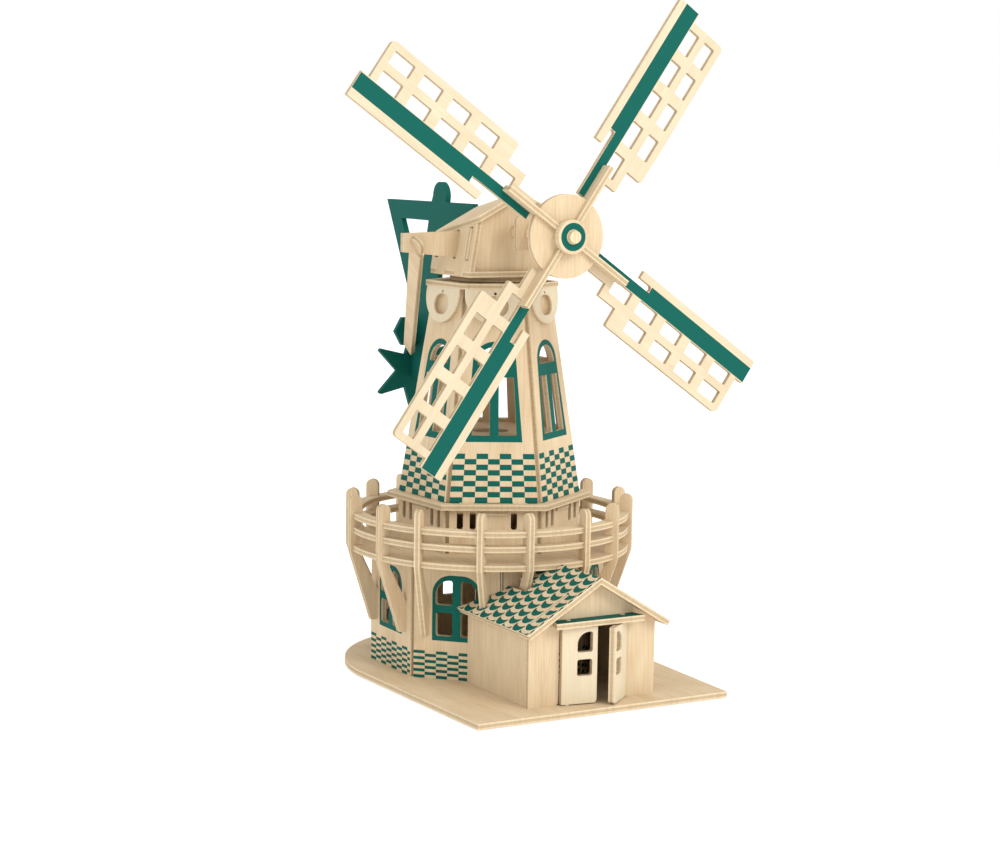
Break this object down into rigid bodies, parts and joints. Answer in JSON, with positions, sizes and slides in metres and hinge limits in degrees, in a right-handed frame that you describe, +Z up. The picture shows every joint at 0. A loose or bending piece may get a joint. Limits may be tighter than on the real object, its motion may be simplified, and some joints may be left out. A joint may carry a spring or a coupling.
{
  "type": "wooden windmill puzzle model",
  "caption": "Plywood tower windmill model with a railed gallery, leaning tower, turning cap with tail, slotted sails and a gabled entrance house with hinged doors.",
  "frame": {"origin": "on the tower axis at the underside of the base plate", "axes": "+Z up along the tower axis; the entrance house, its doors and the sails face -Y; +X is to the right seen from the entrance"},
  "size_m": [0.1906, 0.1949, 0.2807],
  "materials": {
    "birch_ply": "matt",
    "printed_ply": "matt",
    "birch_dowel": "matt"
  },
  "bodies": {
    "frame": {"base_plate": "birch_ply", "lower_wall_1": "printed_ply", "lower_wall_2": "printed_ply", "lower_wall_3": "printed_ply", "lower_wall_4": "printed_ply", "lower_wall_5": "printed_ply", "lower_wall_6": "printed_ply", "lower_wall_7": "printed_ply", "lower_wall_8": "printed_ply", "lower_former": "birch_ply", "gallery_floor": "birch_ply", "mid_rail": "birch_ply", "top_rail": "birch_ply", "gallery_posts": "birch_ply", "drum_walls": "birch_ply", "drum_former": "birch_ply", "balcony_plate": "birch_ply", "tower_wall_1": "printed_ply", "tower_wall_2": "printed_ply", "tower_wall_3": "printed_ply", "tower_wall_4": "printed_ply", "tower_wall_5": "printed_ply", "tower_wall_6": "printed_ply", "shield_plates": "birch_ply", "tower_formers": "birch_ply", "tower_top_plate": "birch_ply", "house_front": "birch_ply", "house_left": "birch_ply", "house_right": "birch_ply", "roof_left": "printed_ply", "roof_right": "printed_ply", "canopy": "printed_ply"},
    "cap": {"cap_pivot": "birch_dowel", "cap_turntable": "birch_ply", "cap_floor": "birch_ply", "cap_front": "birch_ply", "cap_rear": "birch_ply", "cap_side_left": "birch_ply", "cap_side_right": "birch_ply", "cap_roof_left": "birch_ply", "cap_roof_right": "birch_ply", "axle_bearing": "birch_ply", "cross_beam": "birch_ply", "tail_braces": "birch_ply", "tail_plate": "printed_ply", "tail_collar": "printed_ply", "capstan_star": "printed_ply"},
    "sails": {"axle": "birch_dowel", "axle_stop": "birch_ply", "axle_collar": "birch_ply", "hub_disc": "birch_ply", "hub_boss": "printed_ply", "sail_arms": "birch_ply", "sail_1": "printed_ply", "sail_2": "printed_ply", "sail_3": "printed_ply", "sail_4": "printed_ply"},
    "door_left": {"door_left": "birch_ply"},
    "door_right": {"door_right": "birch_ply"}
  },
  "joints": [
    {"name": "cap_turn", "type": "hinge", "parent": "frame", "child": "cap", "pos_m": [0, 0, 0.1618], "axis": [0, 0, 1], "continuous": true},
    {"name": "sail_spin", "type": "hinge", "parent": "cap", "child": "sails", "pos_m": [0, 0, 0.1854], "axis": [0, -1, 0], "continuous": true},
    {"name": "door_left_swing", "type": "hinge", "parent": "frame", "child": "door_left", "pos_m": [-0.0126, -0.0875, 0], "axis": [0, 0, 1], "range_deg": [-92, 8]},
    {"name": "door_right_swing", "type": "hinge", "parent": "frame", "child": "door_right", "pos_m": [0.0126, -0.0875, 0], "axis": [0, 0, 1], "range_deg": [-40, 60]}
  ]
}
